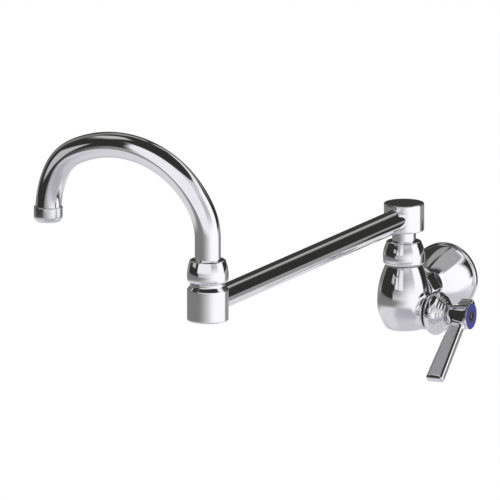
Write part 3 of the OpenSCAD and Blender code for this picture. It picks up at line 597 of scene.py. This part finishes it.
def blue_with_painted_shade(centre):
    """Blue plastic, painted dark and greenish in its middle as the shade of the recess there."""
    material = surface("blue_index", (0.055, 0.06, 0.38), (0.075, 0.08, 0.45), 0.25, 0.4, 0.0, 400.0, 0.1)
    nodes, links = material.node_tree.nodes, material.node_tree.links
    shader, painted_shade_r, blue_r = nodes["Principled BSDF"], 4.4, 4.8
    blue = shader.inputs["Base Color"].links[0].from_socket
    place, reach = nodes.new("ShaderNodeTexCoord"), nodes.new("ShaderNodeVectorMath")
    edge, mix = nodes.new("ShaderNodeMapRange"), nodes.new("ShaderNodeMixRGB")
    reach.operation = "DISTANCE"
    reach.inputs[1].default_value = [v * MM for v in centre]
    edge.inputs["From Min"].default_value, edge.inputs["From Max"].default_value = painted_shade_r * MM, blue_r * MM
    tone = noise_at(nodes, links, 700.0)
    # Painted shade: the dark greenish middle stands in for the shade of the recess round the screw
    dark = ramp_of(nodes, links, tone.outputs["Fac"], (0.03, 0.035, 0.02), (0.07, 0.08, 0.05))
    links.new(place.outputs["Object"], reach.inputs[0])
    links.new(reach.outputs["Value"], edge.inputs["Value"])
    links.new(edge.outputs["Result"], mix.inputs["Fac"])
    links.new(dark, mix.inputs["Color1"])
    links.new(blue, mix.inputs["Color2"])
    links.new(mix.outputs["Color"], shader.inputs["Base Color"])
    return material


def index_ring():
    low, high = box_mm("index_ring")
    outer_r, hole_r, height = (high[1] - low[1]) / 2, 2.9, high[0] - low[0]
    outline = [(hole_r, 0), (outer_r, 0), (outer_r, height), (hole_r, height)]
    shape = turned(outline, straight_axis((low[0], BODY_Y, VALVE_Z), (1, 0, 0)), True, 0.25)
    paint = blue_with_painted_shade((high[0], BODY_Y, VALVE_Z))
    piece("index_ring_skin", *shape, "handle", paint, "blue_index", ["index_ring"])


# Swing arm

SPIGOT_R = 8.95


def rear_block():
    low, high = box_mm("rear_block")
    radius, height = (high[0] - low[0]) / 2, high[2] - low[2]
    roof, bore_r, seat_h, edge = height - 2, 8.35, 4, 1
    outline = [(0, roof), (bore_r, roof), (bore_r, seat_h), (SPIGOT_R, seat_h), (SPIGOT_R, 0)]
    outline += arc((radius - edge, edge), edge, -90, 0, 10)
    outline += arc((radius - edge, height - edge), edge, 0, 90, 10) + [(0, height)]
    shape = turned(outline, straight_axis((0, BODY_Y, low[2]), (0, 0, 1)), False)
    piece("rear_block_skin", *shape, "swing_arm", CHROME, "polished_chrome", ["rear_block"])


def rear_spigot():
    low, high = box_mm("rear_spigot")
    bore_r, length = 5.8, high[2] - low[2]
    outline = [(bore_r, 0), (SPIGOT_R, 0), (SPIGOT_R, length), (bore_r, length)]
    shape = turned(outline, straight_axis((0, BODY_Y, low[2]), (0, 0, 1)), True)
    piece("rear_spigot_skin", *shape, "swing_arm", CHROME, "polished_chrome", ["rear_spigot"])


def arm_tube():
    low, high = box_mm("arm_tube")
    radius, length, wall = (high[0] - low[0]) / 2, high[1] - low[1], 1.2
    outline = [(radius - wall, 0), (radius, 0), (radius, length), (radius - wall, length)]
    shape = turned(outline, straight_axis((0, high[1], ARM_Z), (0, -1, 0)), True, spacing=6.0)
    piece("arm_tube_skin", *shape, "swing_arm", CHROME, "polished_chrome", ["arm_tube"])


def front_block():
    low, high = box_mm("front_block")
    radius, height, waist_h, neck_len = (high[0] - low[0]) / 2, high[2] - low[2], 4.6, 9.0
    waist_r, neck_r, bore_r, cavity_r = 12.9, 12.5, 10.95, 9.3
    floor_t, edge, chamfer, waist_share = 3, 1, 0.3, 0.55
    shoulder, bore_foot = height - neck_len - waist_h, height - 12.4
    outline = [(0, 0)] + arc((radius - edge, edge), edge, -90, 0, 10)
    outline += [(radius, shoulder - chamfer), (radius - chamfer, shoulder),
                (waist_r, shoulder + waist_h * waist_share), (waist_r, shoulder + waist_h),
                (neck_r, shoulder + waist_h), (neck_r, height), (bore_r, height), (bore_r, bore_foot),
                (cavity_r, bore_foot), (cavity_r, floor_t), (0, floor_t)]
    shape = turned(outline, straight_axis((0, FRONT_Y, low[2]), (0, 0, 1)), False)
    piece("front_block_skin", *shape, "swing_arm", CHROME, "polished_chrome", ["front_block"])


# Gooseneck: outer radius, radius and degrees of each of its four bends, which turn half a turn together, the
# height at which they start, and the straight end under them

NECK_R = 9.525
NECK_BENDS = ((44.5, 26.5), (77.0, 89.5), (32.5, 38.5), (72.0, 25.5))
NECK_BEND_Z = 108.0
NECK_TIP = 3.0


def neck_path(foot_z):
    """Points along the middle of the gooseneck, eased a little where one bend meets the next."""
    x, z, turned_by = 0.0, NECK_BEND_Z, 0.0
    points = [(0.0, foot_z), (0.0, NECK_BEND_Z)]
    for radius, angle in NECK_BENDS:
        facing = math.radians(turned_by)
        centre = (x - radius * math.cos(facing), z - radius * math.sin(facing))
        bend = arc(centre, radius, turned_by, turned_by + angle, 0.5)
        points += bend[1:]
        (x, z), turned_by = bend[-1], turned_by + angle
    points.append((x, z - NECK_TIP))
    step, easing = 0.25, 2.0
    flat = smoothed(evenly(points, step, False), easing / step, False, False)
    return np.stack([flat[:, 0], np.full(len(flat), FRONT_Y), flat[:, 1]], 1)


def spout_tube():
    axis, length = curved_axis(neck_path(box_mm("spout_tube")[0][2]))
    bore_r = NECK_R - 1.1
    outline = [(bore_r, 0), (NECK_R, 0), (NECK_R, length), (bore_r, length)]
    shape = turned(outline, axis, True, spacing=1.6, steps=112)
    piece("spout_tube_skin", *shape, "spout", CHROME, "polished_chrome", ["spout_tube"])


def aerator_shell():
    low, high = box_mm("aerator_shell")
    radius, height = (high[0] - low[0]) / 2, high[2] - low[2]
    band, mouth_r, wall, seat_h, chamfer = 6.6, 7.0, 1.1, 2.2, 0.5
    taper_h, taper_r = height - band, radius - mouth_r - wall
    outline = [(mouth_r, 0), (mouth_r + wall, 0)]
    outline += [(mouth_r + wall + taper_r * math.sin(a), taper_h * (1 - math.cos(a)))
                for a in np.linspace(0, math.pi / 2, 30)]
    outline += [(radius, height - chamfer), (radius - chamfer, height), (NECK_R, height), (NECK_R, seat_h),
                (mouth_r, seat_h)]
    shape = turned(outline, straight_axis((OUTLET_X, FRONT_Y, low[2]), (0, 0, 1)), True, 0.25)
    piece("aerator_shell_skin", *shape, "spout", SATIN, "satin_chrome", ["aerator_shell"])


# CAD pieces that stay get their finish

KEPT = {
    "tail_gasket": RUBBER, "body_nut_washer": PLASTIC, "seat_gasket": RUBBER, "fixed_disc": CERAMIC,
    "cartridge_sleeve": BRASS, "bonnet_gasket": RUBBER, "stem": STEEL, "stem_seal": RUBBER,
    "turning_disc": CERAMIC, "handle_screw": SCREW_PAINTED_SHADE, "spigot_seals": RUBBER, "spigot_retaining_ring": BRASS,
    "front_nut_washer": PLASTIC, "spout_sleeve": BRASS, "sleeve_seals": RUBBER,
    "spout_retaining_ring": BRASS, "aerator_washer": RUBBER, "aerator_screen": STEEL,
}


def finish_kept_nodes():
    for name, material in KEPT.items():
        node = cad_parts[name]
        node.data.materials.clear()
        node.data.materials.append(material)


# Studio

# Degrees by which the camera stands to the right of the faucet's front, and above it
CAMERA_SIDE, CAMERA_RISE = 25.7, 12.1


def make_camera():
    """Looks at the faucet from the front right and a little above, through a very long lens."""
    azimuth, elevation = math.radians(CAMERA_SIDE), math.radians(CAMERA_RISE)
    target = Vector((-48.64, -235.19, 61.40)) * MM
    distance, view_width = 17.0, 368.1 * MM
    level = math.cos(elevation)
    back = Vector((math.sin(azimuth) * level, -math.cos(azimuth) * level, math.sin(elevation)))
    camera = bpy.data.objects.new("camera", bpy.data.cameras.new("camera"))
    bpy.context.scene.collection.objects.link(camera)
    camera.location = target + back * distance
    camera.rotation_mode = "QUATERNION"
    camera.rotation_quaternion = (-back).to_track_quat("-Z", "Y")
    camera.data.angle = 2 * math.atan(view_width / 2 / distance)
    camera.data.clip_end = 100
    bpy.context.scene.camera = camera


def background_rays(nodes, links):
    """One for rays from the camera and for mirror and clear surfaces, which see the white background."""
    ray = nodes.new("ShaderNodeLightPath")
    total = ray.outputs["Is Camera Ray"]
    for kind in ("Is Glossy Ray", "Is Transmission Ray"):
        either = nodes.new("ShaderNodeMath")
        either.operation = "MAXIMUM"
        links.new(total, either.inputs[0])
        links.new(ray.outputs[kind], either.inputs[1])
        total = either.outputs["Value"]
    return total


def make_world():
    """White behind the object and in its reflections, plain light from everywhere on it."""
    world = bpy.data.worlds.new("studio")
    bpy.context.scene.world = world
    world.use_nodes = True
    nodes, links = world.node_tree.nodes, world.node_tree.links
    light, white = nodes["Background"], nodes.new("ShaderNodeBackground")
    light.inputs["Color"].default_value = (0.55, 0.55, 0.57, 1)
    white.inputs["Color"].default_value = (1, 1, 1, 1)
    mix = nodes.new("ShaderNodeMixShader")
    links.new(background_rays(nodes, links), mix.inputs["Fac"])
    links.new(light.outputs["Background"], mix.inputs[1])
    links.new(white.outputs["Background"], mix.inputs[2])
    links.new(mix.outputs["Shader"], nodes["World Output"].inputs["Surface"])


LAMP_TARGET = (-0.03, -0.2, 0.05)


def make_lamp(name, place, size, power):
    """A soft square lamp that looks at the middle of the faucet."""
    lamp = bpy.data.objects.new(name, bpy.data.lights.new(name, "AREA"))
    bpy.context.scene.collection.objects.link(lamp)
    lamp.data.shape, lamp.data.size, lamp.data.energy = "SQUARE", size, power
    lamp.location = place
    lamp.rotation_mode = "QUATERNION"
    lamp.rotation_quaternion = (Vector(LAMP_TARGET) - Vector(place)).to_track_quat("-Z", "Y")
    lamp.visible_camera = lamp.visible_glossy = False


def stage_mesh(name, points, faces, material):
    """A mesh of the stage, in metres, which belongs to no piece."""
    mesh = bpy.data.meshes.new(name)
    mesh.from_pydata(np.asarray(points).tolist(), [], [list(f) for f in faces])
    mesh.materials.append(material)
    thing = bpy.data.objects.new(name, mesh)
    bpy.context.scene.collection.objects.link(thing)
    return thing


def make_floor():
    """A pale floor one metre below, white as a background, which keeps the faucet's soft shadow."""
    half, low, glow, cover = 12.0, -1.0, 1.06, 0.9
    material, nodes, links, shader = new_material("floor")
    shader.inputs["Base Color"].default_value = (0.8, 0.8, 0.8, 1)
    shader.inputs["Roughness"].default_value = 0.9
    white, mix = nodes.new("ShaderNodeEmission"), nodes.new("ShaderNodeMixShader")
    white.inputs["Strength"].default_value = glow
    share = nodes.new("ShaderNodeMath")
    share.operation = "MULTIPLY"
    share.inputs[1].default_value = cover
    links.new(background_rays(nodes, links), share.inputs[0])
    links.new(share.outputs["Value"], mix.inputs["Fac"])
    links.new(shader.outputs["BSDF"], mix.inputs[1])
    links.new(white.outputs["Emission"], mix.inputs[2])
    links.new(mix.outputs["Shader"], nodes["Material Output"].inputs["Surface"])
    material.cycles.emission_sampling = "NONE"
    corners = [(-half, -half, low), (half, -half, low), (half, half, low), (-half, half, low)]
    stage_mesh("floor", corners, [(0, 1, 2, 3)], material)


# Cards of a tent round the faucet, which only its reflections show, each painted over the ones before it:
# where it stands, as degrees to the right of the camera and upwards, the degrees over which its left, right,
# lower and upper edge fade, the level at which chrome shows it, and how much lavender is in it

TENT_CENTRE, TENT_WIDE, TENT_DEEP = np.array((-0.05, -0.22, 0.06)), 2.5, 0.9
CARDS = (
    ("ground", (-200, 200), (-95, -26), (1, 1, 1, 34), 196, 0.5),
    ("left ground", (-165, 20), (-19, -6), (20, 40, 12, 5), 120, -0.5),
    ("left sweep", (-125, -46), (-78, -21), (30, 40, 20, 10), 210, 0.4),
    ("front ground", (-40, 56), (-50, -13), (40, 40, 24, 10), 172, 0.8),
    ("front grey", (-62, 56), (-4, 60), (6, 24, 24, 10), 128, -0.3),
    ("upper slope", (0, 70), (0, 60), (80, 24, 10, 10), 185, 0.3),
    ("front top", (4, 50), (32, 50), (24, 12, 10, 4), 205, 0.5),
    ("front slope", (2, 110), (-19, 10), (96, 10, 12, 24), 250, 0),
    ("right white", (56, 98), (-36, 42), (16, 10, 20, 8), 250, 0),
    ("ceiling", (-200, 200), (50, 95), (1, 1, 4, 1), 46, -1),
    ("left dark", (-126, -50), (-7, 62), (6, 4, 6, 6), 48, -1),
    ("left lamp", (-120, -70), (52, 74), (6, 10, 10, 6), 182, -0.5),
    ("right dark", (98, 148), (-4, 36), (8, 6, 8, 10), 46, -1),
    ("right edge", (106, 175), (-20, -4), (10, 6, 10, 6), 140, -0.5),
    ("back dark", (147, 207), (-10, 63), (5, 6, 6, 5), 54, -1),
    ("back line", (150, 162), (24, 56), (6, 6, 4, 8), 167, -0.5),
    ("back grey", (168, 205), (40, 58), (6, 8, 5, 5), 150, -0.5),
    ("left back", (-158, -126), (-6, 55), (8, 8, 8, 6), 114, -1),
)
# Flat cards inside the tent: centre and half sides in metres, share of each half that fades, level, lavender
NEAR_CARDS = (
    ("rear card", (0.12, 0.17, 0.37), (0.19, 0, 0), (0, 0.16, 0.095), 0.15, 160, 0),
    ("window", (0.04, -0.62, 0.25), (0.19, 0, 0), (0, 0, 0.17), 0.12, 234, 0.3),
    ("neck flag", (-0.19, -0.64, 0.28), (0.065, 0, 0), (0, 0, 0.13), 0.12, 46, -1),
    ("wall flag", (0.1, 0.135, -0.02), (0.045, -0.02, 0), (0, 0, 0.035), 0.3, 42, -1),
    ("tip flag", (-0.251, -0.507, 0.095), (0.084, -0.098, 0), (0, 0, 0.035), 0.2, 46, -1),
    ("tip lamp", (-0.25, -0.528, 0.19), (0.046, -0.054, 0), (0, 0, 0.062), 0.2, 182, 0),
)


def ease(value):
    """From 0 to 1 with a soft start and end."""
    value = np.clip(value, 0, 1)
    return value * value * (3 - 2 * value)


CHROME_SHARE = 0.82


def card_light(level, lavender):
    """Light of a card that the chrome shows at a level of 0 to 255, by the curve that screens use."""
    light = ((level / 255 + 0.055) / 1.055) ** 2.4 / CHROME_SHARE
    return light * np.array((1 - 0.02 * lavender, 1 - 0.05 * lavender, 1 + 0.05 * lavender))


def card_material():
    """Light in the painted colour, clear where the paint is."""
    material, nodes, links, _ = new_material("card")
    paint, light = nodes.new("ShaderNodeVertexColor"), nodes.new("ShaderNodeEmission")
    clear, mix = nodes.new("ShaderNodeBsdfTransparent"), nodes.new("ShaderNodeMixShader")
    paint.layer_name = "paint"
    links.new(paint.outputs["Color"], light.inputs["Color"])
    links.new(paint.outputs["Alpha"], mix.inputs["Fac"])
    links.new(clear.outputs["BSDF"], mix.inputs[1])
    links.new(light.outputs["Emission"], mix.inputs[2])
    links.new(mix.outputs["Shader"], nodes["Material Output"].inputs["Surface"])
    material.cycles.emission_sampling = "NONE"
    return material


def grid_faces(rows, columns, closed):
    """Quads between neighbours of a grid of points that is stored row by row."""
    across = columns if closed else columns - 1
    row, column = np.meshgrid(np.arange(rows - 1), np.arange(across), indexing="ij")
    here, beside = row * columns + column, row * columns + (column + 1) % columns
    return np.stack([here, beside, beside + columns, here + columns], -1).reshape(-1, 4)


def card_mesh(name, points, faces, colour, cover, material):
    """A painted mesh that nothing but reflections show."""
    thing = stage_mesh(name, points, faces, material)
    paint = thing.data.color_attributes.new("paint", "FLOAT_COLOR", "POINT")
    paint.data.foreach_set("color", np.column_stack([colour, cover]).ravel())
    for rays in ("camera", "diffuse", "transmission", "volume_scatter", "shadow"):
        setattr(thing, "visible_" + rays, False)


def make_tent(material):
    """A tent with all its cards painted on, a point for each degree round and up."""
    side = math.radians(CAMERA_SIDE)
    right = np.array((math.cos(side), math.sin(side), 0))
    back = np.array((math.sin(side), -math.cos(side), 0))
    elevation, azimuth = np.meshgrid(np.linspace(-89.9, 89.9, 180), np.arange(-180, 180, 1.0), indexing="ij")
    turn, rise = np.radians(azimuth)[..., None], np.radians(elevation)[..., None]
    way = (np.sin(turn) * right + np.cos(turn) * back) * np.cos(rise) + np.array((0, 0, 1.0)) * np.sin(rise)
    height = np.where(way[..., 2:] > 0, TENT_WIDE, TENT_DEEP)
    flat = (way[..., :2] ** 2).sum(-1, keepdims=True)
    reach = 1 / np.sqrt(flat / TENT_WIDE ** 2 + (way[..., 2:] / height) ** 2)
    colour = np.ones(azimuth.shape + (3,))
    for _, sides, heights, (left, right_edge, lower, upper), level, lavender in CARDS:
        middle = sum(sides) / 2
        around = (azimuth - middle + 180) % 360 - 180 + middle
        cover = ease((around - sides[0]) / left + 0.5)
        cover = cover * ease((sides[1] - around) / right_edge + 0.5)
        cover = cover * ease((elevation - heights[0]) / lower + 0.5)
        cover = cover * ease((heights[1] - elevation) / upper + 0.5)
        colour += (card_light(level, lavender) - colour) * cover[..., None]
    points = (TENT_CENTRE + way * reach).reshape(-1, 3)
    faces = grid_faces(*azimuth.shape, True)
    card_mesh("tent", points, faces, colour.reshape(-1, 3), np.ones(len(points)), material)


def make_near_cards(material):
    steps = np.linspace(-1, 1, 41)
    down, across = np.meshgrid(steps, steps, indexing="ij")
    faces = grid_faces(*across.shape, False)
    for name, centre, half, rise_half, soft, level, lavender in NEAR_CARDS:
        points = np.array(centre) + across[..., None] * np.array(half) + down[..., None] * np.array(rise_half)
        cover = ease((1 - np.abs(across)) / soft) * ease((1 - np.abs(down)) / soft)
        colour = np.tile(card_light(level, lavender), (cover.size, 1))
        card_mesh(name.replace(" ", "_"), points.reshape(-1, 3), faces, colour, cover.ravel(), material)


def make_cards():
    material = card_material()
    make_tent(material)
    make_near_cards(material)


wall_flange()
inlet_tail()
faucet_body()
union_nuts()
bonnet()
lever_handle()
index_ring()
rear_block()
rear_spigot()
arm_tube()
front_block()
spout_tube()
aerator_shell()
finish_kept_nodes()
make_camera()
make_world()
make_floor()
make_lamp("key", (1.2, -2.4, 1.6), 1.6, 14)
make_lamp("fill", (-1.8, -1.6, 0.9), 1.6, 8)
make_cards()

bpy.context.scene.view_settings.view_transform = "Standard"
